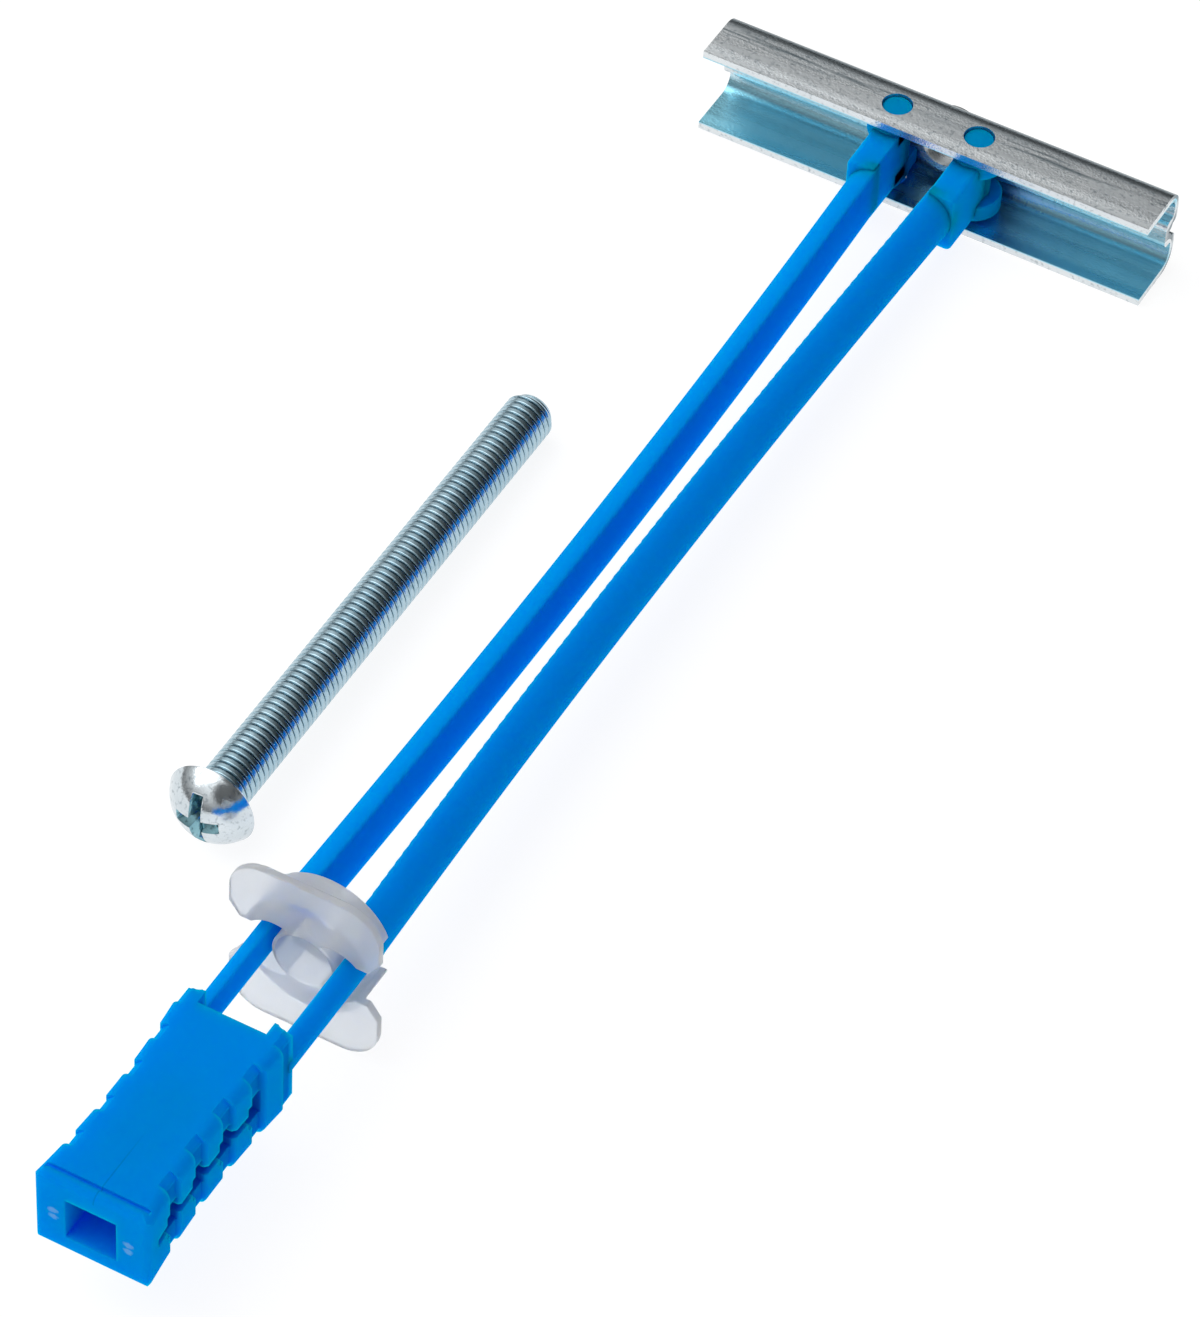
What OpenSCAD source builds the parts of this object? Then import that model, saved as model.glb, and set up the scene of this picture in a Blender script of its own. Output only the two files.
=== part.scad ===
// Cavity wall anchor: a steel toggle channel pinned to two flexing straps with a
// grip, a sliding cap on the straps, and the machine screw that lies beside it.
// Millimetres. +X along the channel, +Y out of the back of the channel, +Z along the pins.
// The origin is the mouth of the channel's threaded hole.

/* [Channel] */
// length of the steel channel along X
channel_length = 47; // [35:0.5:60]
// height of the channel over both flanges
channel_height = 9.8; // [8:0.1:13]
// thickness of the steel sheet
sheet = 0.8; // [0.6:0.05:1.2]
// flange, from the pin axis to its front edge
flange_front = 3.1; // [2.5:0.1:4.5]
// web, from the pin axis to the back of the channel
web_back = 3.95; // [3.5:0.05:5]
// outside radius of the bends between flange and web
bend_r = 2.3; // [1:0.1:2.6]
// half width of the rib that the web has along its middle
rib_half = 1.6; // [1.3:0.05:2]
// radius of the tapped hole's wall
thread_r = 2.1; // [1.6:0.05:2.3]
// radius of the drawn collar round the tapped hole
collar_r = 2.8; // [2.5:0.05:2.85]
// back end of the drawn collar, from the mouth of the hole
collar_back = 3.2; // [2.8:0.1:5]

/* [Pins] */
// distance of each pin from the screw's axis
pin_x = 4.33; // [4:0.01:5.5]
// distance of the pin axis in front of the tapped hole's mouth
pin_back = 1.7; // [1.6:0.05:2.5]
// radius of the moulded pins
pin_r = 1.45; // [1.2:0.05:1.8]
// clearance of the pins in the flanges, on the radius
pin_clear = 0.05; // [0.02:0.01:0.1]
// how far the pin ends lie under the outside of the flange
pin_sunk = 0.25; // [0:0.05:0.6]

/* [Straps] */
// half height of the strap's flat inner side, the radius of its round outer side
strap_r = 2.85; // [2:0.05:3]
// distance of the strap's inner side from the screw's axis, next to the channel
strap_offset = 2.85; // [2.6:0.05:3]
// how far each strap bows towards the other at its middle
strap_bow = 0.9; // [0.3:0.05:1.2]
// how much nearer the screw's axis the strap's inner side is at the cap
strap_taper_depth = 0.5; // [0:0.05:0.8]
// radius of the knuckle that carries the pins
knuckle_r = 2.7; // [2:0.05:2.9]
// half height of the square shoulder between knuckle and strap
shoulder_half = 3.3; // [3:0.05:3.6]
// length of the shoulder, from the pins
shoulder_length = 7.4; // [5:0.1:10]
// clearance between knuckle and flange
knuckle_clear = 0.12; // [0.08:0.01:0.3]
// distance from the pins to the end of the thick strap
strap_length = 111.7; // [80:1:140]
// length of the slim strap, from the end of the thick strap to its root at the grip
slim_length = 14.3; // [10:0.1:25]
// radius of the slim strap between the thick strap and the grip
slim_r = 1.7; // [1.4:0.05:1.9]
// clearance of the strap's root in the grip
root_clear = 0.05; // [0.02:0.01:0.1]

/* [Grip] */
// length of the grip behind the roots
grip_length = 24.1; // [18:0.1:30]
// width of the grip at its ends
grip_width = 11.1; // [9.5:0.1:13]
// height of the grip
grip_height = 8.7; // [7:0.1:10]
// how far each side is drawn in at the grip's middle
grip_waist = 0.65; // [0.3:0.05:1.2]
// radius of the grip's long edges
grip_edge = 1.1; // [0.4:0.05:1.5]
// number of finger notches in each side
notch_count = 5; // [3:1:6]
// plain length of the grip's side behind the last notch
notch_margin = 2.2; // [1:0.1:4]
// length of one notch
notch_length = 1.9; // [1:0.05:2.6]
// depth of one notch
notch_depth = 0.45; // [0.2:0.05:0.8]
// height of the slot along each side
side_slot = 1; // [0.6:0.05:1.6]
// height of the pockets that widen the slot at the notches
side_pocket = 2.8; // [1.8:0.05:3.2]
// width of the groove across the grip next to its end
end_groove = 0.45; // [0.2:0.05:0.8]
// width of the window in the grip's end
window_width = 4.9; // [3:0.1:5]
// height of the window in the grip's end
window_height = 4.7; // [3:0.1:5]
// depth of the window in the grip's end
window_depth = 14; // [6:0.5:16]

/* [Cap] */
// width of the cap's plate along X
cap_width = 14.7; // [13.5:0.1:20]
// height of the cap's plate along Z
cap_height = 18.1; // [15:0.1:24]
// thickness of the plate
cap_plate = 0.8; // [0.7:0.05:2]
// corner radius of the plate
cap_corner = 3.6; // [2:0.1:5]
// radius of the collar that enters the wall's hole
cap_collar_r = 6.1; // [5.9:0.05:7]
// length of the plate and the collar together
cap_length = 4.5; // [3.5:0.1:6]
// radius of the screw's hole in the cap
cap_bore_r = 2.75; // [2.6:0.05:2.9]
// gap between the cap and the start of the thick straps
cap_gap = 0.3; // [0.2:0.05:1]

/* [Screw] */
// radius of the screw over its thread
screw_r = 2.4; // [2.2:0.05:2.5]
// length of the screw under its head
screw_length = 56.5; // [30:0.5:80]
// radius of the screw's round head
head_r = 4.3; // [4:0.05:5]
// height of the screw's head
head_height = 3.1; // [2.6:0.05:4]
// width of the slot and of the cross in the head
recess_width = 1.2; // [0.8:0.05:1.6]
// length of the slot
recess_slot = 6.8; // [5:0.1:8]
// length of the cross's short arm
recess_length = 4.6; // [3:0.1:6]
// depth of the slot
recess_depth = 1.9; // [1:0.05:2.2]
// radius of the recess's round middle
recess_r = 1.3; // [0.8:0.05:1.6]
// distance of the screw from the middle of the anchor
screw_x = -17.7; // [-40:0.5:-14]
// front end of the screw's thread, from the pins
screw_y = -45.5; // [-60:0.5:-20]

/* [Hidden] */
$fn = 96;
eps = 0.01;
pin_y = -pin_back;
half_h = channel_height / 2;
lip_y = pin_y - flange_front;
back_y = pin_y + web_back;
in_h = half_h - sheet;
pin_hole_r = pin_r + pin_clear;
knuckle_h = in_h - knuckle_clear;
out_bend_r = min(bend_r, half_h - rib_half + sheet - 0.9);
in_bend_r = min(max(out_bend_r - sheet, 0.3), in_h - rib_half - 0.6);
knuckle_top_r = max(pin_r + 0.1, min(knuckle_r - 0.2, back_y - sheet - in_bend_r - pin_y + 0.15));
relief_r = pin_back - 0.2;
relief_h = rib_half + 0.15;
thick_y = pin_y - strap_length;
root_y = thick_y - slim_length;
slim_in = pin_x - slim_r / 2;
strap_run = strap_length - 1;
strap_lean = asin(strap_taper_depth / strap_run);
bow_R = (strap_run * strap_run / 4 + strap_bow * strap_bow) / (2 * strap_bow);
bow_angle = 2 * asin(strap_run / 2 / bow_R);
grip_front = root_y - 0.65;
grip_end = root_y - grip_length;
grip_top = grip_height / 2;
waist_run = grip_length - 2;
waist_R = (waist_run * waist_run / 4 + grip_waist * grip_waist) / (2 * grip_waist);
notch_pitch = (grip_length - notch_margin) / notch_count;
notch_run = (2 - sqrt(2)) * grip_edge + notch_depth;
cap_back = thick_y - cap_gap;
cap_front = cap_back - cap_length;
cap_wall = cap_bore_r + 0.35;
slot_h = 2.05;
rest_slope = (cap_height / 2 - half_h) / (back_y - out_bend_r - cap_front - cap_plate);
screw_tip_y = pin_y + screw_y;
screw_z = -half_h - (back_y - out_bend_r - screw_tip_y) * rest_slope + screw_r + 0.05;

// A box from one corner to the other.
module block(a, b) {
  translate(a) cube(b - a);
}

// A bar along X with a round edge at the back, both above and below.
module bent_bar(len, y0, y1, z0, z1, r0, r1) {
  block([-len / 2, y0, z0], [len / 2, y1 - max(r0, r1), z1]);
  block([-len / 2, y0, z0 + r0], [len / 2, y1, z1 - r1]);
  translate([-len / 2, y1 - r0, z0 + r0]) rotate([0, 90, 0]) cylinder(r = r0, h = len);
  translate([-len / 2, y1 - r1, z1 - r1]) rotate([0, 90, 0]) cylinder(r = r1, h = len);
}

// One half of the channel's section above the middle: flange, bend and back lobe, solid.
module lobe_outside() {
  bent_bar(channel_length, lip_y, back_y, rib_half - sheet, half_h, 0.7, out_bend_r);
}

// The hollow inside one half of the channel.
module lobe_inside() {
  bent_bar(channel_length + 2, lip_y - 1, back_y - sheet, rib_half, in_h, 0.4, in_bend_r);
}

// The rib along the middle of the web, pressed towards the straps.
module rib() {
  block([-channel_length / 2, 0, -rib_half + 0.7], [channel_length / 2, sheet, rib_half - 0.7]);
  block([-channel_length / 2, 0.7, -rib_half], [channel_length / 2, back_y - 0.8, -rib_half + sheet]);
  block([-channel_length / 2, 0.7, rib_half - sheet], [channel_length / 2, back_y - 0.8, rib_half]);
  for (s = [-1, 1]) {
    translate([-channel_length / 2, 0.7, s * (rib_half - 0.7)])
      rotate([0, 90, 0]) cylinder(r = 0.7, h = channel_length);
  }
}

// The pressed steel channel with its tapped, drawn hole and its four pin holes.
module channel() {
  color([0.78, 0.8, 0.8]) difference() {
    union() {
      difference() {
        union() {
          lobe_outside();
          mirror([0, 0, 1]) lobe_outside();
        }
        lobe_inside();
        mirror([0, 0, 1]) lobe_inside();
        block([-channel_length, lip_y - 1, -rib_half], [channel_length, back_y - 0.8, rib_half]);
      }
      rib();
      rotate([-90, 0, 0]) cylinder(r = collar_r, h = collar_back);
    }
    translate([0, -1, 0]) rotate([-90, 0, 0]) cylinder(r = thread_r, h = collar_back + 2);
    for (s = [-1, 1]) {
      translate([s * pin_x, pin_y, -half_h - 1]) cylinder(r = pin_hole_r, h = channel_height + 2);
    }
  }
}

// The bowed thick strap: a half-round bar swept on a large arc, from the knuckle to the slim bar.
module thick_strap() {
  translate([strap_offset, pin_y - 1, 0])
    rotate([0, 0, -strap_lean])
      translate([bow_R - strap_bow, -strap_run / 2, 0])
        rotate([0, 0, 180 - bow_angle / 2])
          rotate_extrude(angle = bow_angle, $fn = 1440)
            translate([bow_R, 0]) intersection() {
              circle(r = strap_r);
              translate([-2 * strap_r, -strap_r]) square([2 * strap_r, 2 * strap_r]);
            }
}

// A straight half-round bar along Y, flat side at x = a.
module half_round(a, r, y0, y1) {
  translate([a, y0, 0]) rotate([-90, 0, 0]) intersection() {
    cylinder(r = r, h = y1 - y0);
    translate([0, -r, 0]) cube([r, 2 * r, y1 - y0]);
  }
}

// The knuckle in the channel: a boss round the pin axis, cut flat towards the screw.
module knuckle() {
  difference() {
    union() {
      translate([pin_x, pin_y, -knuckle_h + 0.5]) cylinder(r = knuckle_r, h = 2 * knuckle_h - 1);
      for (s = [-1, 1]) {
        mirror([0, 0, s < 0 ? 1 : 0]) translate([pin_x, pin_y, knuckle_h - 0.51])
          cylinder(r1 = knuckle_r, r2 = knuckle_top_r, h = 0.51);
      }
    }
    block([0, pin_y - 10, -half_h], [strap_offset, 5, half_h]);
    difference() {
      block([0, pin_y - 0.5, -relief_h], [pin_x + 5, 5, relief_h]);
      translate([pin_x, pin_y, -half_h]) cylinder(r = relief_r, h = channel_height);
    }
  }
  translate([pin_x, pin_y, -half_h + pin_sunk]) cylinder(r = pin_r, h = channel_height - 2 * pin_sunk);
}

// The shoulder behind the knuckle: a square bar along Y with round outer edges.
module shoulder() {
  out_x = strap_offset + strap_r;
  y0 = pin_y - shoulder_length;
  block([strap_offset, y0, -shoulder_half], [out_x - 0.6, pin_y, shoulder_half]);
  block([strap_offset, y0, -shoulder_half + 0.6], [out_x, pin_y, shoulder_half - 0.6]);
  for (s = [-1, 1]) {
    translate([out_x - 0.6, y0, s * (shoulder_half - 0.6)])
      rotate([-90, 0, 0]) cylinder(r = 0.6, h = shoulder_length);
  }
}

// One strap: knuckle with pins, square shoulder, bowed half-round bar, slim bar and round root.
module strap() {
  knuckle();
  shoulder();
  thick_strap();
  half_round(slim_in, slim_r, root_y, thick_y + 1);
  translate([pin_x, root_y, -slim_r + 0.4]) cylinder(r = slim_r / 2, h = 2 * slim_r - 0.8);
}

module strap_left() {
  color([0.0, 0.33, 0.78]) mirror([1, 0, 0]) strap();
}

module strap_right() {
  color([0.0, 0.33, 0.78]) strap();
}

// One finger notch, cut into the grip's right side: a slope, a flat and a steep step.
// The first one has no slope: it runs out of the grip's front.
module notch_cutter(first) {
  linear_extrude(height = grip_height + 2) polygon([
    [first ? -notch_depth : 0.4, first ? 2 : 0.55],
    [-notch_depth, -0.35],
    [-notch_depth, -notch_length],
    [0.4, -notch_length - 0.2],
    [2, -notch_length - 0.2],
    [2, first ? 2 : 0.55]
  ]);
}

// The shape that draws in the grip's side and rounds its two long edges, turned about Z.
module waist_cutter() {
  rotate_extrude($fn = 720) difference() {
    translate([0, -grip_top - 1]) square([waist_R + grip_edge, grip_height + 2]);
    translate([waist_R, -grip_top + grip_edge]) square([2 * grip_edge, grip_height - 2 * grip_edge]);
    translate([waist_R + grip_edge, grip_top - grip_edge]) circle(r = grip_edge);
    translate([waist_R + grip_edge, -grip_top + grip_edge]) circle(r = grip_edge);
  }
}

// Where one finger notch runs out over the grip's rounded top and bottom edges.
module notch_edges(first) {
  for (s = [0, 1]) {
    mirror([0, 0, s]) translate([0, first ? 2 : -0.2, 0]) rotate([90, 0, 0])
      linear_extrude(notch_length + (first ? 2.06 : -0.14))
        polygon([
          [-notch_run - 0.5, grip_top + 0.5],
          [0.5, grip_top - notch_run - 0.5],
          [2, grip_top - notch_run - 0.5],
          [2, grip_top + 0.5],
        ]);
  }
}

// The moulded grip: waisted, notched at the sides, with side slots and a window in its end.
module grip() {
  color([0.0, 0.35, 0.78]) difference() {
    intersection() {
      union() {
        block([-grip_width / 2, grip_end + 0.8, -grip_top], [grip_width / 2, grip_front, grip_top]);
        block([-grip_width / 2 + 0.8, grip_end, -grip_top], [grip_width / 2 - 0.8, grip_front, grip_top]);
        for (s = [-1, 1]) {
          translate([s * (grip_width / 2 - 0.8), grip_end + 0.8, -grip_top])
            cylinder(r = 0.8, h = grip_height);
        }
      }
      union() {
        block([-grip_width, grip_end + 0.8, -grip_top], [grip_width, grip_front, grip_top]);
        block([-grip_width, grip_end, -grip_top + 0.8], [grip_width, grip_front, grip_top - 0.8]);
        for (s = [-1, 1]) {
          translate([-grip_width, grip_end + 0.8, s * (grip_top - 0.8)])
            rotate([0, 90, 0]) cylinder(r = 0.8, h = 2 * grip_width);
        }
      }
    }
    for (s = [-1, 1]) {
      translate([s * (grip_width / 2 - grip_waist + waist_R), (grip_front + grip_end) / 2, 0])
        waist_cutter();
      mirror([0, 0, s > 0 ? 0 : 1])
        block([-grip_width / 2 + 0.6, grip_end + 1, grip_top - 0.35],
          [grip_width / 2 - 0.6, grip_end + 1 + end_groove, grip_top + 1]);
      for (i = [0:notch_count - 1]) {
        notch_y = grip_front - 0.1 - notch_pitch * i;
        mid_y = notch_y - notch_length / 2 - (grip_front + grip_end) / 2;
        mirror([s > 0 ? 0 : 1, 0, 0])
          translate([grip_width / 2 - grip_waist + mid_y * mid_y / 2 / waist_R, notch_y, -grip_top - 1])
            notch_cutter(i == 0);
        mirror([s > 0 ? 0 : 1, 0, 0])
          translate([grip_width / 2 - grip_waist + mid_y * mid_y / 2 / waist_R, notch_y, 0])
            notch_edges(i == 0);
        if (i > 0)
          translate([s * (window_width / 2 + 2.7), notch_y - notch_length / 2 - 0.4, 0])
            cube([4, notch_length + 0.4, side_pocket], center = true);
      }
      translate([s * (window_width / 2 + 2.7), (grip_front + grip_end) / 2 - 1.5, 0])
        cube([4, grip_length - 7, side_slot], center = true);
      translate([s * pin_x, root_y, -grip_top - 1])
        cylinder(r = slim_r / 2 + root_clear, h = grip_height + 2);
    }
    block([-pin_x + 1, grip_front - 1.4, -grip_top - 1], [pin_x - 1, grip_front + 1, grip_top + 1]);
    block([-window_width / 2, grip_end - 1, -window_height / 2],
      [window_width / 2, grip_end + window_depth, window_height / 2]);
  }
}

// The plate's outline: a rectangle with round corners.
module cap_outline(h) {
  for (s = [-1, 1]) {
    for (t = [-1, 1]) {
      translate([s * (cap_width / 2 - cap_corner), 0, t * (cap_height / 2 - cap_corner)])
        rotate([-90, 0, 0]) cylinder(r = cap_corner, h = h);
    }
  }
  block([-cap_width / 2 + cap_corner, 0, -cap_height / 2], [cap_width / 2 - cap_corner, h, cap_height / 2]);
  block([-cap_width / 2, 0, -cap_height / 2 + cap_corner], [cap_width / 2, h, cap_height / 2 - cap_corner]);
}

// The slanted corner that opens the plate's notch upwards.
module way_flare() {
  translate([cap_collar_r + 0.2, -1, slot_h]) rotate([0, -55, 0])
    block([0, 0, -3], [6, cap_plate + 2, 0]);
}

// The way for one strap: open to the side, wider where the strap's flat side runs, round the screw's tube.
module strap_way() {
  difference() {
    union() {
      block([1, -1, -slot_h], [cap_width, cap_length + 1, slot_h]);
      intersection() {
        translate([strap_offset + 0.05, -1, 0]) rotate([-90, 0, 0])
          cylinder(r = strap_r + 0.15, h = cap_length + 2);
        block([1, -2, -5], [cap_width, cap_length + 2, 5]);
      }
    }
    translate([0, -2, 0]) rotate([-90, 0, 0]) cylinder(r = cap_wall, h = cap_length + 4);
  }
  way_flare();
  mirror([0, 0, 1]) way_flare();
}

// The cap: plate, collar, screw hole and the two ways for the straps.
module cap() {
  color([0.86, 0.88, 0.9, 0.85]) translate([0, cap_front, 0]) difference() {
    union() {
      cap_outline(cap_plate);
      rotate([-90, 0, 0]) cylinder(r = cap_collar_r, h = cap_length);
    }
    translate([0, -1, 0]) rotate([-90, 0, 0]) cylinder(r = cap_bore_r, h = cap_length + 2);
    strap_way();
    mirror([1, 0, 0]) strap_way();
  }
}

// The machine screw: round head with slot and cross, plain shank where the thread is cut.
module screw_shape() {
  head_R = (head_r * head_r + head_height * head_height) / (2 * head_height);
  difference() {
    union() {
      cylinder(r = screw_r, h = screw_length - 0.6);
      translate([0, 0, screw_length - 0.61]) cylinder(r1 = screw_r, r2 = screw_r - 0.6, h = 0.61);
      intersection() {
        translate([0, 0, head_R - head_height]) sphere(r = head_R);
        translate([0, 0, -head_height - 1]) cylinder(r = head_r, h = head_height + 1);
      }
    }
    block([-recess_slot / 2, -recess_width / 2, -head_height - 1],
      [recess_slot / 2, recess_width / 2, recess_depth - head_height]);
    block([-recess_width / 2, -recess_length / 2, -head_height - 1],
      [recess_width / 2, recess_length / 2, 1.2 * recess_depth - head_height]);
    translate([0, 0, -head_height - 1]) cylinder(r = recess_r, h = 1.3 * recess_depth + 1);
  }
}

module screw() {
  color([0.75, 0.77, 0.78]) translate([screw_x, screw_tip_y - screw_length, screw_z])
    rotate([-90, 0, 0]) rotate([0, 0, 85]) screw_shape();
}

channel();
strap_left();
strap_right();
grip();
cap();
screw();
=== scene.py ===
import bmesh
import bpy
import numpy as np
from mathutils import Matrix, Vector


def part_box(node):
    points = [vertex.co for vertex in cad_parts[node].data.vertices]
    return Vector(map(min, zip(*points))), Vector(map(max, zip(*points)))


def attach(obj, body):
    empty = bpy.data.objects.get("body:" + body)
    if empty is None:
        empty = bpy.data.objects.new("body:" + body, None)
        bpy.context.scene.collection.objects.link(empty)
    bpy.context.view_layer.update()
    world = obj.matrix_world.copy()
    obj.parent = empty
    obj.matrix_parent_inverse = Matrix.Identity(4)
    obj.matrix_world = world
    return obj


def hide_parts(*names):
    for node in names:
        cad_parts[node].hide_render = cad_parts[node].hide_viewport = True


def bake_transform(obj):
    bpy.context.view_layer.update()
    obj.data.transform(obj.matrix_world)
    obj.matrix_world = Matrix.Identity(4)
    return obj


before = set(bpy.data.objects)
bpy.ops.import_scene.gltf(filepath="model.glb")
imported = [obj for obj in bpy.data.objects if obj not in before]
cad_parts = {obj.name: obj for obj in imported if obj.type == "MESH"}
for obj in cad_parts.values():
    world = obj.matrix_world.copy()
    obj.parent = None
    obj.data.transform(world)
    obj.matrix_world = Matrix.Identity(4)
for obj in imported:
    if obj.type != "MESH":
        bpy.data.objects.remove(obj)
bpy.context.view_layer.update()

# Straps: the two long arms of the blue moulding, half round, with flat sides that face each other.
# Fine ratchet teeth run along the upper edges of the flat sides, and a knuckle with two pins ends each arm.
# They are injection moulded in one piece with the grip, so their slim ends bend out of the grip.
MM = 0.001
PIN_X, PIN_Y, PIN_R, PIN_TOP = 4.33, -1.7, 1.45, 4.65
KNUCKLE_R, KNUCKLE_TOP, CORE_R, CORE_TOP, FLAT_ROUND = 2.7, 3.97, 1.5, 3.9, 0.12
SHOULDER_END, SHOULDER_HALF, SHOULDER_ROUND, SHOULDER_EDGE, SHOULDER_FALL = -9.1, 3.3, 0.6, 0.15, 0.1
STRAP_FLAT, STRAP_R, STRAP_EDGE = 2.85, 2.85, 0.3
STRAP_START, STRAP_TAPER, STRAP_BOW, THICK_END = PIN_Y - 1, 0.5, 0.9, -113.4
SLIM_FLAT, SLIM_R, SLIM_EDGE, ROOT_Y = 3.48, 1.7, 0.22, -127.7
TOOTH_PITCH, TOOTH_DEPTH, TOOTH_RISE, TOOTH_BAND, TEETH_START = 1.3, 0.06, 0.8, 0.55, -12


def ring_shell(rings):
    """Points and faces of a closed skin: ring i is joined to ring i + 1, point j to point j + 1,
    and the first and last rings are filled. rings has the shape (rings, points, 3), in millimetres."""
    n, m = rings.shape[:2]
    i, j = np.meshgrid(np.arange(n - 1), np.arange(m), indexing="ij")
    k = (j + 1) % m
    quads = np.stack([i * m + j, i * m + k, (i + 1) * m + k, (i + 1) * m + j], -1).reshape(-1, 4)
    ends = [list(range(m)), list(range((n - 1) * m, n * m))]
    return rings.reshape(-1, 3), quads.tolist() + ends


def piece_from_shells(name, shells, smooth_angle=40.0):
    """One mesh object from closed shells, each a pair of points in millimetres and faces.
    Normals are turned outwards, and only edges flatter than smooth_angle are shaded smooth."""
    points, faces, start = [], [], 0
    for shell_points, shell_faces in shells:
        points.append(shell_points)
        faces += [[start + corner for corner in face] for face in shell_faces]
        start += len(shell_points)
    mesh = bpy.data.meshes.new(name)
    mesh.from_pydata((np.concatenate(points) * MM).tolist(), [], faces)
    work = bmesh.new()
    work.from_mesh(mesh)
    bmesh.ops.recalc_face_normals(work, faces=work.faces[:])
    for edge in work.edges:
        edge.smooth = not edge.is_manifold or edge.calc_face_angle(0.0) < np.radians(smooth_angle)
    work.to_mesh(mesh)
    work.free()
    mesh.polygons.foreach_set("use_smooth", np.ones(len(mesh.polygons), bool))
    made = bpy.data.objects.new(name, mesh)
    bpy.context.scene.collection.objects.link(made)
    return made


def half_round_rings(y, flat, half, corner, teeth):
    """Rings of a D section along Y. The flat side is at x = flat, from z = -half to half; the round side
    is x = flat + half cos t, z = half sin t; quarter circles of radius corner round both edges.
    Teeth cut the flat side's upper edge by a saw wave of y, weighted by teeth at each ring."""
    y, flat, half, corner, teeth = (np.asarray(a, float)[:, None] for a in (y, flat, half, corner, teeth))
    t_end = np.arccos(corner / half)
    t = t_end * np.linspace(-1, 1, 33)[None, :]
    rim = half * np.sin(t_end)
    turn = np.radians(np.linspace(90, 180, 6)[1:])[None, :]
    x_round, z_round = half * np.cos(t), half * np.sin(t)
    x_edge, z_edge = corner + corner * np.cos(turn), rim - corner + corner * np.sin(turn)
    z_flat = np.linspace(1, -1, 25)[None, 1:-1] * (rim - corner)
    x = np.concatenate([x_round, x_edge, np.zeros_like(z_flat), x_edge[:, ::-1]], 1)
    z = np.concatenate([z_round, z_edge, z_flat, -z_edge[:, ::-1]], 1)
    saw = (y / TOOTH_PITCH) % 1.0
    saw = np.where(saw < TOOTH_RISE, saw / TOOTH_RISE, (1 - saw) / (1 - TOOTH_RISE))
    near_edge = np.clip((z - (rim - TOOTH_BAND)) / 0.15, 0, 1) * (x < 0.4 * half)
    x = x + teeth * TOOTH_DEPTH * saw * near_edge
    return np.stack([flat + x, np.broadcast_to(y, x.shape), z], -1)


def boss_rings(radius, flat, z, inset):
    """Rings of an upright boss round the pin axis: a circle of the given radius, less the inset at each z,
    and cut by a flat at x = flat, which the inset moves by at most FLAT_ROUND."""
    t = np.radians(np.linspace(0, 360, 65)[:-1])[None, :]
    inset = np.asarray(inset, float)[:, None]
    x = np.maximum(PIN_X + (radius - inset) * np.cos(t), flat + np.minimum(inset, FLAT_ROUND))
    y = PIN_Y + (radius - inset) * np.sin(t)
    return np.stack([x, y, np.broadcast_to(np.asarray(z, float)[:, None], x.shape)], -1)


def shoulder_rings():
    """Rings of the square shoulder along Y, four corner arcs each: wide outside, narrow inside, and less an
    inset that rounds the shoulder's end. Its top falls by a share of its height towards the strap."""
    inset = np.array([0.0, 0.0, 0.03, 0.08, 0.15])[:, None]
    before_end = np.array([PIN_Y - 0.2 - SHOULDER_END, 0.25, 0.12, 0.04, 0.0])[:, None]
    turn = np.radians(np.linspace(0, 90, 7))[None, :]
    out_x, out_z = STRAP_FLAT + STRAP_R - SHOULDER_ROUND, SHOULDER_HALF - SHOULDER_ROUND
    in_x, in_z = STRAP_FLAT + SHOULDER_EDGE, SHOULDER_HALF - SHOULDER_EDGE
    corners = (
        (out_x, out_z, SHOULDER_ROUND, 0),
        (in_x, in_z, SHOULDER_EDGE, 90),
        (in_x, -in_z, SHOULDER_EDGE, 180),
        (out_x, -out_z, SHOULDER_ROUND, 270),
    )
    x, z = [], []
    for centre_x, centre_z, radius, start in corners:
        x.append(centre_x + (radius - inset) * np.cos(turn + np.radians(start)))
        z.append(centre_z + (radius - inset) * np.sin(turn + np.radians(start)))
    x, z = np.concatenate(x, 1), np.concatenate(z, 1)
    y = np.broadcast_to(SHOULDER_END + before_end, x.shape)
    z = np.where(z > 0, z * (1 - SHOULDER_FALL * np.clip((-y - 4) / 5, 0, 1)), z)
    return np.stack([x, y, z], -1)


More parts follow.
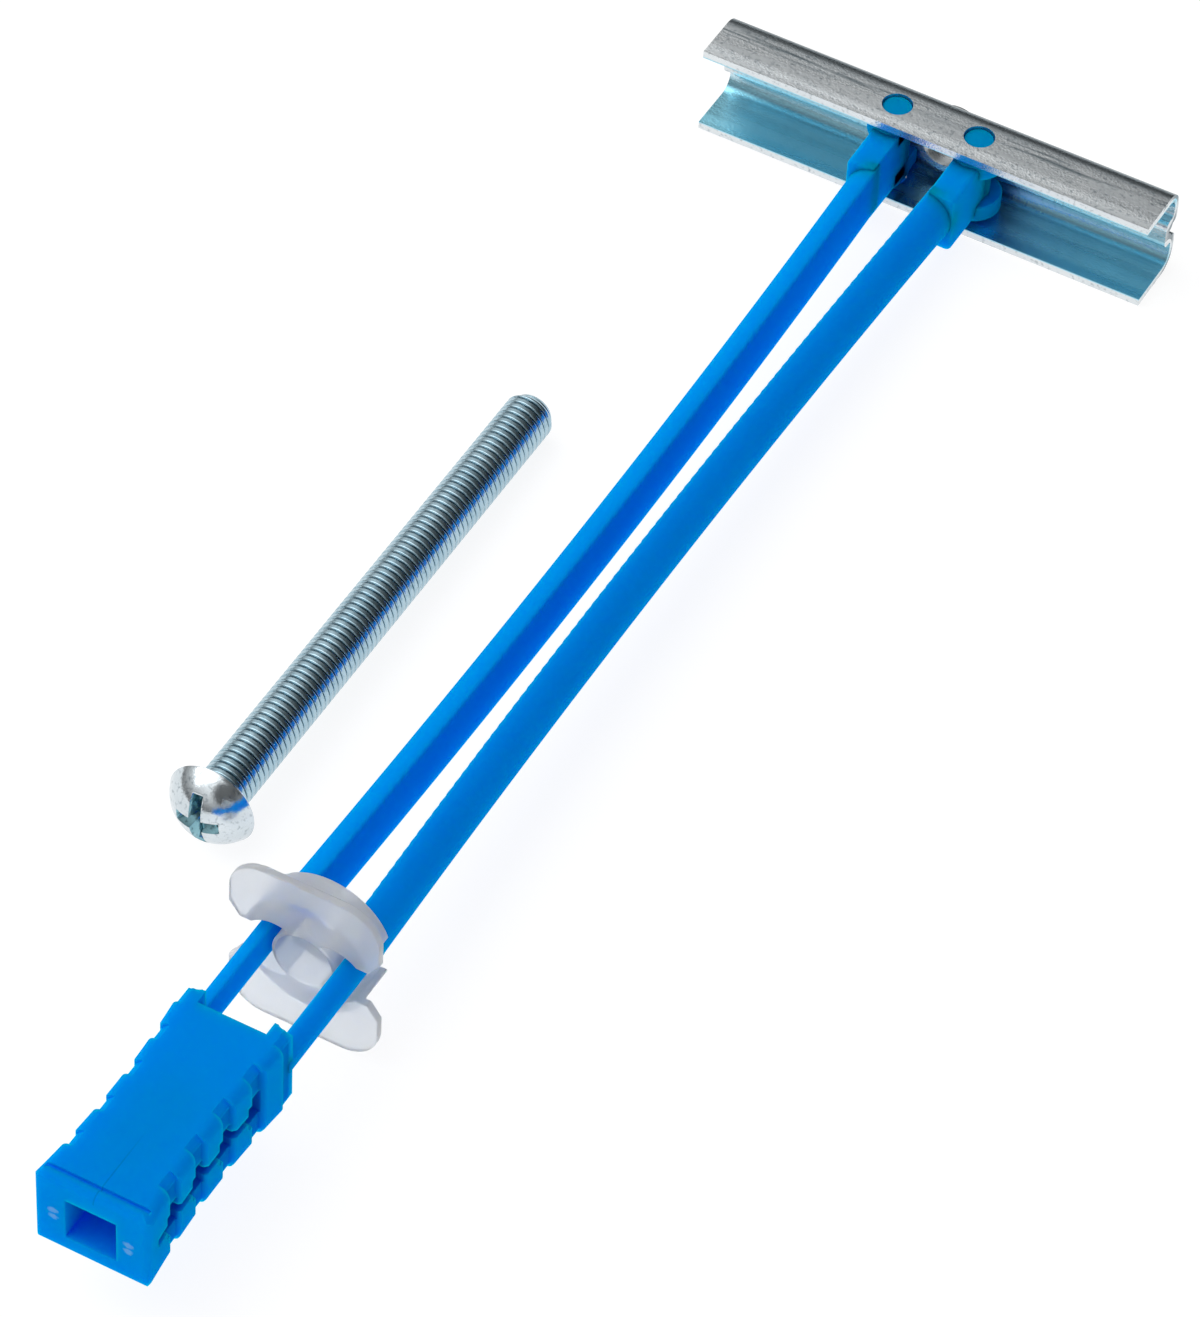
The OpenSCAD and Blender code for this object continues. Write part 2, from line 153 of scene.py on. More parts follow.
def strap_shells():
    """The right strap as closed shells: the long bar, the square shoulder, the two bosses of the knuckle,
    their core and the pins. The bar's flat side follows x = flat - taper u - 4 bow u (1 - u), with u from
    0 at the knuckle to 1 at the slim end."""
    y_thick = np.arange(SHOULDER_END + 1.2, THICK_END, -TOOTH_PITCH / 6)
    u = (STRAP_START - y_thick) / (STRAP_START - THICK_END)
    flat_thick = STRAP_FLAT - STRAP_TAPER * u - 4 * STRAP_BOW * u * (1 - u)
    neck = [(THICK_END, flat_thick[-1], 2.6), (THICK_END - 0.12, 3.3, 2.0), (THICK_END - 0.3, SLIM_FLAT, SLIM_R)]
    slim = [(y, SLIM_FLAT, SLIM_R) for y in np.linspace(THICK_END - 2, ROOT_Y - 1.2, 24)]
    y_end, flat_end, half_end = np.array(neck + slim).T
    y, flat = np.concatenate([y_thick, y_end]), np.concatenate([flat_thick, flat_end])
    half = np.concatenate([np.full(len(y_thick), STRAP_R), half_end])
    teeth = np.clip((TEETH_START - y) / 3, 0, 1)
    teeth[len(y_thick) - 4:] = 0
    bar = half_round_rings(y, flat, half, np.where(half > 2, STRAP_EDGE, SLIM_EDGE), teeth)
    boss_z, boss_inset = [1.75, 1.85, 3.4, 3.5, 3.9, KNUCKLE_TOP], [0.1, 0.0, 0.0, 0.1, 0.8, 0.98]
    upper = boss_rings(KNUCKLE_R, STRAP_FLAT, boss_z, boss_inset)
    core = boss_rings(CORE_R, STRAP_FLAT + 0.02, [-CORE_TOP, CORE_TOP], [0.0, 0.0])
    pin_z, pin_inset = np.array([PIN_TOP - 0.2, PIN_TOP - 0.05, PIN_TOP]), np.array([0.0, 0.1, 0.3])
    pins = boss_rings(PIN_R, 0.0, np.r_[-pin_z[::-1], pin_z], np.r_[pin_inset[::-1], pin_inset])
    return [ring_shell(rings) for rings in (bar, shoulder_rings(), upper, upper * [1, 1, -1], core, pins)]


def new_group(name, inputs, outputs):
    """An empty shader node group with named float sockets, and its input and output nodes.
    inputs gives each one's starting value."""
    group = bpy.data.node_groups.new(name, "ShaderNodeTree")
    for socket_name, value in inputs.items():
        socket = group.interface.new_socket(socket_name, in_out="INPUT", socket_type="NodeSocketFloat")
        socket.default_value = value
    for socket_name in outputs:
        group.interface.new_socket(socket_name, in_out="OUTPUT", socket_type="NodeSocketFloat")
    return group, group.nodes.new("NodeGroupInput"), group.nodes.new("NodeGroupOutput")


def set_inputs(node, values):
    """Puts values on a node's unlinked inputs."""
    for name, value in values.items():
        node.inputs[name].default_value = value


def add_node(tree, kind, inputs=None, **settings):
    """A new shader node with its settings and with values on its unlinked inputs."""
    made = tree.nodes.new("ShaderNode" + kind)
    for name, value in settings.items():
        setattr(made, name, value)
    set_inputs(made, inputs or {})
    return made


def maths(tree, operation, count):
    """Several math nodes of one kind."""
    return [add_node(tree, "Math", operation=operation) for _ in range(count)]


def colour_mix(tree, **colours):
    """A node that mixes the colours A and B, each given here or linked later."""
    return add_node(tree, "Mix", {socket: (*colour, 1) for socket, colour in colours.items()}, data_type="RGBA")


def wire(tree, *pairs):
    """Links (node, socket) to (node, socket), two by two."""
    for (a, a_socket), (b, b_socket) in pairs:
        tree.links.new(a.outputs[a_socket], b.inputs[b_socket])


def new_material(name, values):
    """A material with values on its main shader, and its node tree and that shader."""
    made = bpy.data.materials.new(name)
    made.use_nodes = True
    skin = made.node_tree.nodes["Principled BSDF"]
    set_inputs(skin, values)
    return made, made.node_tree, skin


def moulded_grain_group():
    """Moulded plastic: a slow flow mottle and a fine grain, as a mask and a height for a bump."""
    group, inside, out = new_group(
        "moulded_grain", {"Flow scale": 120.0, "Grain scale": 2600.0}, ["Mottle", "Height"]
    )
    where = add_node(group, "TexCoord")
    flow = add_node(group, "TexNoise", {"Detail": 3.0})
    grain = add_node(group, "TexNoise", {"Detail": 2.0})
    wire(
        group,
        ((where, "Object"), (flow, "Vector")),
        ((where, "Object"), (grain, "Vector")),
        ((inside, "Flow scale"), (flow, "Scale")),
        ((inside, "Grain scale"), (grain, "Scale")),
        ((flow, "Fac"), (out, "Mottle")),
        ((grain, "Fac"), (out, "Height")),
    )
    return group


moulded_grain = moulded_grain_group()


def blue_plastic_material(name):
    """Satin blue moulding, a little translucent: two near blues mixed by the flow mottle, which also changes
    the gloss, and a fine grain as a bump. The node that mixes the blues is named flow_tint."""
    made, tree, skin = new_material(name, {
        "IOR": 1.47,
        "Specular IOR Level": 0.0,
        "Subsurface Weight": 0.7,
        "Subsurface Radius": (0.05, 0.4, 1.0),
        "Subsurface Scale": 0.006,
    })
    grain = add_node(tree, "Group", node_tree=moulded_grain)
    tint = colour_mix(tree, A=(0.0, 0.245, 0.76), B=(0.0, 0.275, 0.83))
    tint.name = "flow_tint"
    gloss = add_node(tree, "MapRange", {"To Min": 0.32, "To Max": 0.48})
    bump = add_node(tree, "Bump", {"Strength": 0.12, "Distance": 0.1 * MM})
    wire(
        tree,
        ((grain, "Mottle"), (tint, "Factor")),
        ((tint, "Result"), (skin, "Base Color")),
        ((grain, "Mottle"), (gloss, "Value")),
        ((gloss, "Result"), (skin, "Roughness")),
        ((grain, "Height"), (bump, "Height")),
        ((bump, "Normal"), (skin, "Normal")),
    )
    return made


blue_plastic = blue_plastic_material("blue_moulding")
right_shells = strap_shells()
for side, sign in (("left", -1), ("right", 1)):
    strap = piece_from_shells("strap_" + side + "_skin", [(p * [sign, 1, 1], f) for p, f in right_shells])
    strap.data.materials.append(blue_plastic)
    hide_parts("strap_" + side)
    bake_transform(strap)

# Grip: the blue handle that both straps grow out of, waisted and notched for the fingers.
# It is cored out from its end and along both sides, as thick mouldings are, to keep the walls even.
GRIP_EDGE, GRIP_END = 0.2, -151.8
GATE_X, GATE_Z, SEAM_X, SEAM_HALF, SEAM_Z = 3.6, 0.4, 0.3, 0.07, 3.5
WAIST_X, WAIST_Y, WAIST_R, POCKET_FLOOR = 4.9, -140.08, 94.25, 2.6
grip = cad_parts["grip"]


def soften_edges(node, width, sharp_angle=35.0):
    """Rounds a solid's sharp edges: equal points are welded, flat triangles joined, and edges above the angle
    get a round bevel of the given width in millimetres."""
    weld = node.modifiers.new("weld", "WELD")
    weld.merge_threshold = 0.002 * MM
    faces = node.modifiers.new("whole_faces", "DECIMATE")
    faces.decimate_type, faces.angle_limit = "DISSOLVE", np.radians(0.4)
    bevel = node.modifiers.new("rounded_edges", "BEVEL")
    bevel.width, bevel.segments, bevel.limit_method = width * MM, 3, "ANGLE"
    bevel.angle_limit = np.radians(sharp_angle)
    bevel.use_clamp_overlap = True
    bevel.miter_outer = "MITER_ARC"
    bevel.harden_normals = False
    normals = node.modifiers.new("face_normals", "WEIGHTED_NORMAL")
    normals.keep_sharp = True
    node.data.polygons.foreach_set("use_smooth", np.ones(len(node.data.polygons), bool))


def fade(tree, start, end, low=0.0, high=1.0):
    """A node that goes from low to high while its value goes from start to end, in millimetres."""
    limits = {"From Min": start * MM, "From Max": end * MM, "To Min": low, "To Max": high}
    return add_node(tree, "MapRange", limits)


def gate_marks_group():
    """Marks of the mould on the grip: two pale scars on its end face, and a thin parting line that fades out
    along its top."""
    group, inside, out = new_group("gate_marks", {}, ["Scars", "Seam"])
    where, split = add_node(group, "TexCoord"), add_node(group, "SeparateXYZ")
    mirror = add_node(group, "VectorMath", operation="ABSOLUTE")
    gate = (GATE_X * MM, -GRIP_END * MM, GATE_Z * MM)
    centre = add_node(group, "VectorMath", {1: gate}, operation="SUBTRACT")
    squeeze = add_node(group, "VectorMath", {1: (1800, 1500, 2600)}, operation="MULTIPLY")
    away = add_node(group, "VectorMath", operation="LENGTH")
    rough = add_node(group, "TexNoise", {"Scale": 2500.0, "Detail": 2.0})
    ragged = add_node(group, "Math", operation="ADD")
    scar = add_node(group, "MapRange", {"From Min": 1.0, "From Max": 1.5, "To Min": 0.45, "To Max": 0.0})
    aside = add_node(group, "Math", {1: SEAM_X * MM, 2: SEAM_HALF * MM}, operation="COMPARE")
    above = add_node(group, "Math", {1: SEAM_Z * MM}, operation="GREATER_THAN")
    near_end = fade(group, GRIP_END + 8.3, GRIP_END + 4.3)
    line, seam = maths(group, "MULTIPLY", 2)
    wire(
        group,
        ((where, "Object"), (mirror, 0)),
        ((mirror, "Vector"), (centre, 0)),
        ((centre, "Vector"), (squeeze, 0)),
        ((squeeze, "Vector"), (away, 0)),
        ((where, "Object"), (rough, "Vector")),
        ((away, "Value"), (ragged, 0)),
        ((rough, "Fac"), (ragged, 1)),
        ((ragged, "Value"), (scar, "Value")),
        ((scar, "Result"), (out, "Scars")),
        ((where, "Object"), (split, "Vector")),
        ((split, "X"), (aside, 0)),
        ((split, "Z"), (above, 0)),
        ((split, "Y"), (near_end, "Value")),
        ((aside, "Value"), (line, 0)),
        ((above, "Value"), (line, 1)),
        ((line, "Value"), (seam, 0)),
        ((near_end, "Result"), (seam, 1)),
        ((seam, "Value"), (out, "Seam")),
    )
    return group


def side_shade_group():
    """Shade in the notches and pockets of the grip's sides: how far a point lies inside the waisted side
    |x| = waist x + (y - waist y)^2 / (2 R), away from the top, the bottom, both ends and the window."""
    group, inside, out = new_group("side_shade", {}, ["Mask"])
    where, split = add_node(group, "TexCoord"), add_node(group, "SeparateXYZ")
    along = add_node(group, "Math", {1: -WAIST_Y * MM}, operation="ADD")
    across, height, reach = maths(group, "ABSOLUTE", 3)
    square, first, second, mask = maths(group, "MULTIPLY", 4)
    curve = {1: 1 / (2 * WAIST_R * MM), 2: WAIST_X * MM}
    side = add_node(group, "Math", curve, operation="MULTIPLY_ADD")
    depth = add_node(group, "Math", operation="SUBTRACT")
    sunk = fade(group, 0.1, 0.6, high=0.8)
    below = fade(group, 3.9, 3.4)
    within = fade(group, 11.3, 10.9)
    outer = add_node(group, "Math", {1: POCKET_FLOOR * MM}, operation="GREATER_THAN")
    wire(
        group,
        ((where, "Object"), (split, "Vector")),
        ((split, "Y"), (along, 0)),
        ((along, "Value"), (square, 0)),
        ((along, "Value"), (square, 1)),
        ((square, "Value"), (side, 0)),
        ((split, "X"), (across, 0)),
        ((split, "Z"), (height, 0)),
        ((along, "Value"), (reach, 0)),
        ((side, "Value"), (depth, 0)),
        ((across, "Value"), (depth, 1)),
        ((depth, "Value"), (sunk, "Value")),
        ((height, "Value"), (below, "Value")),
        ((reach, "Value"), (within, "Value")),
        ((across, "Value"), (outer, 0)),
        ((sunk, "Result"), (first, 0)),
        ((below, "Result"), (first, 1)),
        ((within, "Result"), (second, 0)),
        ((outer, "Value"), (second, 1)),
        ((first, "Value"), (mask, 0)),
        ((second, "Value"), (mask, 1)),
        ((mask, "Value"), (out, "Mask")),
    )
    return group


blue_grip = blue_plastic_material("blue_grip")
tree = blue_grip.node_tree
marks = add_node(tree, "Group", node_tree=gate_marks_group())
sides = add_node(tree, "Group", node_tree=side_shade_group())
scarred = colour_mix(tree, B=(0.25, 0.50, 0.85))
seamed = colour_mix(tree, B=(0.0, 0.21, 0.66))
shaded = colour_mix(tree, B=(0.0, 0.09, 0.45))
wire(
    tree,
    ((tree.nodes["flow_tint"], "Result"), (scarred, "A")),
    ((marks, "Scars"), (scarred, "Factor")),
    ((scarred, "Result"), (seamed, "A")),
    ((marks, "Seam"), (seamed, "Factor")),
    ((seamed, "Result"), (shaded, "A")),
    ((sides, "Mask"), (shaded, "Factor")),
    ((shaded, "Result"), (tree.nodes["Principled BSDF"], "Base Color")),
)
soften_edges(grip, GRIP_EDGE)
grip.data.materials.clear()
grip.data.materials.append(blue_grip)

# Channel: the toggle bar, pressed from zinc plated steel sheet, with a stiffening rib along its web.
# Its hole is drawn backwards and tapped for the screw, and the straps' pins snap into holes in both flanges.
CHANNEL_EDGE = 0.12
LIP_Y, LIP_ROLL, DRAW_LINE_Y, FLANGE_SKIN = -4.8, 0.08, -0.9, 4.5
CREASE_Y, CREASE_Z, BEND_Z, BEND_SKIN = 0.9, 3.6, 2.6, 1.9
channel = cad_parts["channel"]


def rolled_zinc_group():
    """Zinc plate on rolled sheet: cloudy patches, long faint roll lines along X, fine pits and dark specks."""
    group, inside, out = new_group(
        "rolled_zinc", {"Cloud scale": 300.0, "Line scale": 900.0}, ["Cloud", "Lines", "Pits", "Specks"]
    )
    where = add_node(group, "TexCoord")
    stretch = add_node(group, "Mapping", {"Scale": (0.04, 1, 1)})
    cloud = add_node(group, "TexNoise", {"Detail": 4.0})
    lines = add_node(group, "TexNoise", {"Detail": 2.0})
    pits = add_node(group, "TexNoise", {"Scale": 5000.0, "Detail": 2.0})
    dots = add_node(group, "TexNoise", {"Scale": 2300.0, "Detail": 3.0})
    specks = add_node(group, "MapRange", {"From Min": 0.54, "From Max": 0.76})
    wire(
        group,
        ((where, "Object"), (cloud, "Vector")),
        ((where, "Object"), (pits, "Vector")),
        ((where, "Object"), (dots, "Vector")),
        ((where, "Object"), (stretch, "Vector")),
        ((stretch, "Vector"), (lines, "Vector")),
        ((inside, "Cloud scale"), (cloud, "Scale")),
        ((inside, "Line scale"), (lines, "Scale")),
        ((cloud, "Fac"), (out, "Cloud")),
        ((lines, "Fac"), (out, "Lines")),
        ((pits, "Fac"), (out, "Pits")),
        ((dots, "Fac"), (specks, "Value")),
        ((specks, "Result"), (out, "Specks")),
    )
    return group


rolled_zinc = rolled_zinc_group()


def zinc_material(name, dark, light, speck, painted_tint, painted_tint_mask, rough, relief):
    """Zinc plate: a grey metal from dark to light by the clouds, with darker specks, and a painted tint where
    the painted_tint_mask group says so; the channel uses it for a painted reflection, the thread for painted
    shade. Roll lines change the gloss, from rough[0] to rough[1], and lines and pits make the relief. The last
    colour mix is named painted_tint_mix and the bump plate_relief."""
    made, tree, skin = new_material(name, {"Metallic": 1.0})
    plate = add_node(tree, "Group", node_tree=rolled_zinc)
    mask = add_node(tree, "Group", node_tree=painted_tint_mask)
    clouded = colour_mix(tree, A=dark, B=light)
    specked = colour_mix(tree, B=speck)
    tint_painted = colour_mix(tree, B=painted_tint)
    gloss = add_node(tree, "MapRange", {"To Min": rough[0], "To Max": rough[1]})
    height = add_node(tree, "Math", operation="ADD")
    bump = add_node(tree, "Bump", {"Strength": relief, "Distance": 0.1 * MM})
    tint_painted.name, bump.name = "painted_tint_mix", "plate_relief"
    wire(
        tree,
        ((plate, "Cloud"), (clouded, "Factor")),
        ((clouded, "Result"), (specked, "A")),
        ((plate, "Specks"), (specked, "Factor")),
        ((specked, "Result"), (tint_painted, "A")),
        ((mask, "Mask"), (tint_painted, "Factor")),
        ((tint_painted, "Result"), (skin, "Base Color")),
        ((plate, "Lines"), (gloss, "Value")),
        ((gloss, "Result"), (skin, "Roughness")),
        ((plate, "Lines"), (height, 0)),
        ((plate, "Pits"), (height, 1)),
        ((height, "Value"), (bump, "Height")),
        ((bump, "Normal"), (skin, "Normal")),
    )
    return made


def inner_face_group():
    """A mask of the channel's inner faces, where a painted teal reflection of the blue straps goes: inside the
    flanges, in front of the web's back, and fading out from the flanges to the rib."""
    group, inside, out = new_group("inner_face", {}, ["Mask"])
    where, split = add_node(group, "TexCoord"), add_node(group, "SeparateXYZ")
    height = add_node(group, "Math", operation="ABSOLUTE")
    within = fade(group, 4.3, 4.1)
    front = fade(group, 1.9, 1.6)
    flange = fade(group, 2.2, 3.6, high=0.92)
    both, mask = maths(group, "MULTIPLY", 2)
    wire(
        group,
        ((where, "Object"), (split, "Vector")),
        ((split, "Z"), (height, 0)),
        ((height, "Value"), (within, "Value")),
        ((height, "Value"), (flange, "Value")),
        ((split, "Y"), (front, "Value")),
        ((within, "Result"), (both, 0)),
        ((front, "Result"), (both, 1)),
        ((both, "Value"), (mask, 0)),
        ((flange, "Result"), (mask, 1)),
        ((mask, "Value"), (out, "Mask")),
    )
    return group


def press_marks_and_shade_group():
    """Marks left by pressing, and painted light and shade: lips that roll over, dark draw lines on the flanges
    beside the outer bends, a painted dark reflection along the outer bends, and painted shade in the crease of
    the inner bends. Distances are taken in the plane of y and |z|."""
    group, inside, out = new_group("press_marks_and_shade", {}, ["Roll", "Dark"])
    where, split, profile = (add_node(group, kind) for kind in ("TexCoord", "SeparateXYZ", "CombineXYZ"))
    height, off_line = maths(group, "ABSOLUTE", 2)
    roll = fade(group, LIP_Y, LIP_Y + 1.6, low=-LIP_ROLL * MM, high=0.0)
    roll.interpolation_type = "SMOOTHSTEP"

    stretch = add_node(group, "Mapping", {"Scale": (0.05, 1, 1)})
    scratch = add_node(group, "TexNoise", {"Scale": 1800.0, "Detail": 2.0})
    streak = add_node(group, "MapRange", {"From Min": 0.48, "From Max": 0.66, "To Max": 0.8})
    from_line = add_node(group, "Math", {1: -DRAW_LINE_Y * MM}, operation="ADD")
    band = fade(group, 1.1, 0.4)
    outside = add_node(group, "Math", {1: FLANGE_SKIN * MM}, operation="GREATER_THAN")

    # Painted shade in the crease of the inner bends, and a painted dark reflection along the outer bends.
    crease_axis, bend_axis = (0, CREASE_Y * MM, CREASE_Z * MM), (0, 0, BEND_Z * MM)
    from_crease = add_node(group, "VectorMath", {1: crease_axis}, operation="DISTANCE")
    crease = fade(group, 0.45, 0.12, high=0.85)
    from_bend = add_node(group, "VectorMath", {1: bend_axis}, operation="DISTANCE")
    bend_skin = add_node(group, "Math", {1: BEND_SKIN * MM}, operation="GREATER_THAN")
    behind = fade(group, -0.7, 0.8, high=0.85)
    ahead = fade(group, 2.1, 1.8)

    banded, drawn, turned, bent = maths(group, "MULTIPLY", 4)
    either, dark = maths(group, "MAXIMUM", 2)
    wire(
        group,
        ((where, "Object"), (split, "Vector")),
        ((split, "Z"), (height, 0)),
        ((split, "Y"), (profile, "Y")),
        ((height, "Value"), (profile, "Z")),
        ((split, "Y"), (roll, "Value")),
        ((roll, "Result"), (out, "Roll")),
        ((where, "Object"), (stretch, "Vector")),
        ((stretch, "Vector"), (scratch, "Vector")),
        ((scratch, "Fac"), (streak, "Value")),
        ((split, "Y"), (from_line, 0)),
        ((from_line, "Value"), (off_line, 0)),
        ((off_line, "Value"), (band, "Value")),
        ((height, "Value"), (outside, 0)),
        ((band, "Result"), (banded, 0)),
        ((streak, "Result"), (banded, 1)),
        ((banded, "Value"), (drawn, 0)),
        ((outside, "Value"), (drawn, 1)),
        ((profile, "Vector"), (from_crease, 0)),
        ((from_crease, "Value"), (crease, "Value")),
        ((profile, "Vector"), (from_bend, 0)),
        ((from_bend, "Value"), (bend_skin, 0)),
        ((split, "Y"), (behind, "Value")),
        ((split, "Y"), (ahead, "Value")),
        ((behind, "Result"), (turned, 0)),
        ((ahead, "Result"), (turned, 1)),
        ((turned, "Value"), (bent, 0)),
        ((bend_skin, "Value"), (bent, 1)),
        ((drawn, "Value"), (either, 0)),
        ((crease, "Result"), (either, 1)),
        ((either, "Value"), (dark, 0)),
        ((bent, "Value"), (dark, 1)),
        ((dark, "Value"), (out, "Dark")),
    )
    return group


zinc_sheet = zinc_material(
    "zinc_sheet",
    dark=(0.62, 0.67, 0.70),
    light=(0.82, 0.85, 0.86),
    speck=(0.38, 0.43, 0.46),
    # Painted reflection: the teal of the blue straps on the channel's inner faces.
    painted_tint=(0.25, 0.65, 0.81),
    painted_tint_mask=inner_face_group(),
    rough=(0.18, 0.36),
    relief=0.3,
)
tree = zinc_sheet.node_tree
skin = tree.nodes["Principled BSDF"]
press_and_shade = add_node(tree, "Group", node_tree=press_marks_and_shade_group())
lip = add_node(tree, "Bump", {"Strength": 1.0, "Distance": 1.0})
# The dark colour of the draw lines, also painted as a dark reflection on the outer bends and as shade in the
# inner crease.
marked_and_shaded = colour_mix(tree, B=(0.06, 0.11, 0.14))
wire(
    tree,
    ((tree.nodes["painted_tint_mix"], "Result"), (marked_and_shaded, "A")),
    ((press_and_shade, "Dark"), (marked_and_shaded, "Factor")),
    ((marked_and_shaded, "Result"), (skin, "Base Color")),
    ((tree.nodes["plate_relief"], "Normal"), (lip, "Normal")),
    ((press_and_shade, "Roll"), (lip, "Height")),
    ((lip, "Normal"), (skin, "Normal")),
)
soften_edges(channel, CHANNEL_EDGE)
channel.data.materials.clear()
channel.data.materials.append(zinc_sheet)

# Cap: a milky plate with a slotted collar, moulded from unfilled plastic, that slides along the straps.
# Its collar enters the hole in the wall, and its plate stays in front and hides the hole's edge.
CAP_EDGE = 0.22
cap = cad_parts["cap"]
milky, tree, skin = new_material("milky_moulding", {
    "Roughness": 0.3,
    "IOR": 1.3,
    "Transmission Weight": 0.68,
    "Subsurface Weight": 0.8,
    "Subsurface Radius": (1.0, 1.1, 1.3),
    "Subsurface Scale": 0.0016,
})
grain = add_node(tree, "Group", {"Flow scale": 240.0}, node_tree=moulded_grain)
tint = colour_mix(tree, A=(0.86, 0.90, 0.94), B=(0.94, 0.97, 1.0))
bump = add_node(tree, "Bump", {"Strength": 0.15, "Distance": 0.1 * MM})
wire(
    tree,
    ((grain, "Mottle"), (tint, "Factor")),
    ((tint, "Result"), (skin, "Base Color")),
    ((grain, "Height"), (bump, "Height")),
    ((bump, "Normal"), (skin, "Normal")),
)
soften_edges(cap, CAP_EDGE)
cap.data.materials.clear()
cap.data.materials.append(milky)

# Screw: a zinc plated machine screw with a rolled thread and a round head with a slot and a cross.
# It lies loose beside the anchor; in use it turns into the channel's tapped hole.
low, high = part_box("screw")
SCREW_X, SCREW_TIP, SCREW_Z, SCREW_LENGTH = -17.7, -47.2, (low.z + high.z) / 2 / MM, 56.5
UNDER_HEAD = SCREW_TIP - SCREW_LENGTH
PITCH, CREST, THREAD_ROOT, RUN_OUT = 0.74, 2.42, 1.98, 0.7
TIP_LENGTH, TIP_FALL = 0.9, 0.55
HEAD_R, HEAD_HEIGHT = 4.3, 3.1
SLOT_LENGTH, SLOT_DEPTH, CROSS_LENGTH, CROSS_DEPTH = 6.8, 1.9, 4.6, 2.2
RECESS_WIDTH, RECESS_TAPER, RECESS_TURN = 1.25, 0.72, np.radians(95)


def turned_points(r, y, t):
    """Points round the screw's axis at radius r, place y and angle t."""
    return np.stack([SCREW_X + r * np.cos(t), y, SCREW_Z + r * np.sin(t)], -1)


def thread_rings():
    """A rolled thread: radius = root + (crest - root) times a rounded wave of s / pitch - t / 2 pi,
    with s the distance from the head and t the angle. It fades out under the head and at the tip.
    The second array is how deep in the groove each point lies, from 0 on the crest to 1 at the root."""
    s = np.arange(0, SCREW_LENGTH + 0.01, PITCH / 12)[:, None]
    t = np.radians(np.linspace(0, 360, 57)[:-1])[None, :]
    phase = np.abs((s / PITCH - t / (2 * np.pi)) % 1.0 - 0.5)
    wave = np.clip((phase - 0.03) / 0.14, 0, 1)
    along_tip = np.clip((s - SCREW_LENGTH + TIP_LENGTH) / TIP_LENGTH, 0, None)
    crest = CREST - TIP_FALL * along_tip
    crest = np.where(s < RUN_OUT, THREAD_ROOT + (CREST - THREAD_ROOT) * s / RUN_OUT, crest)
    root = np.minimum(THREAD_ROOT, crest)
    r = root + (crest - root) * wave
    return turned_points(r, np.broadcast_to(UNDER_HEAD + s, r.shape), t), 1 - wave


def head_rings():
    """The round head, turned: a dome of one large radius with a small round at its rim and a flat underside."""
    dome = (HEAD_R**2 + HEAD_HEIGHT**2) / (2 * HEAD_HEIGHT)
    a = np.linspace(np.arcsin(HEAD_R / dome) - 0.05, 0.02, 26)
    rim_r, rim_h = [1.5, 4.05, 4.2, HEAD_R - 0.02], [0.02, 0.0, 0.03, 0.14]
    r = np.concatenate([rim_r, dome * np.sin(a)])[:, None]
    h = np.concatenate([rim_h, HEAD_HEIGHT - dome * (1 - np.cos(a))])[:, None]
    t = np.radians(np.linspace(0, 360, 97)[:-1])[None, :]
    return turned_points(r, np.broadcast_to(UNDER_HEAD - h + 0.02, (len(r), t.shape[1])), t)


def recess_shell(length, depth, turn):
    """A cutter for one arm of the recess: a bar across the head whose walls and ends taper towards its floor."""
    corners = np.array([[-1, -1], [1, -1], [1, 1], [-1, 1]]) * [length / 2, RECESS_WIDTH / 2]
    top = UNDER_HEAD - HEAD_HEIGHT
    rings = []
    for share, out in ((1.0, 2.0), (1.0, 0.0), (RECESS_TAPER, -depth)):
        a, b = (corners * share).T
        x, z = a * np.cos(turn) - b * np.sin(turn), a * np.sin(turn) + b * np.cos(turn)
        rings.append(np.stack([SCREW_X + x, np.full(4, top - out), SCREW_Z + z], -1))
    return ring_shell(np.array(rings))


def cut(solid, cutters):
    """Takes closed cutters out of a solid with exact booleans and keeps the result as the solid's mesh."""
    for cutter in cutters:
        change = solid.modifiers.new("cut", "BOOLEAN")
        change.operation, change.solver, change.object = "DIFFERENCE", "EXACT", cutter
        change.material_mode = "TRANSFER"
    evaluated = solid.evaluated_get(bpy.context.evaluated_depsgraph_get())
    mesh = bpy.data.meshes.new_from_object(evaluated)
    solid.modifiers.clear()
    solid.data = mesh
    for cutter in cutters:
        bpy.data.objects.remove(cutter)


def thread_groove_group():
    """A mask of painted shade in the thread's grooves, from the piece's own groove attribute; it is nothing on
    the head.
    """
    group, inside, out = new_group("thread_groove", {}, ["Mask"])
    depth = add_node(group, "Attribute", attribute_name="groove")
    groove_shade = add_node(group, "MapRange", {"From Min": 0.15, "From Max": 0.8, "To Max": 0.95})
    wire(group, ((depth, "Fac"), (groove_shade, "Value")), ((groove_shade, "Result"), (out, "Mask")))
    return group


thread_groove = thread_groove_group()
zinc_thread = zinc_material(
    "zinc_thread",
    dark=(0.27, 0.43, 0.52),
    light=(0.52, 0.67, 0.74),
    speck=(0.25, 0.40, 0.48),
    # Painted shade: near black in the roots of the thread.
    painted_tint=(0.015, 0.05, 0.07),
    painted_tint_mask=thread_groove,
    rough=(0.12, 0.26),
    relief=0.1,
)
zinc_head = zinc_material(
    "zinc_head",
    dark=(0.50, 0.57, 0.61),
    light=(0.80, 0.85, 0.88),
    speck=(0.34, 0.40, 0.44),
    painted_tint=(0.03, 0.08, 0.11),
    painted_tint_mask=thread_groove,
    rough=(0.1, 0.22),
    relief=0.1,
)
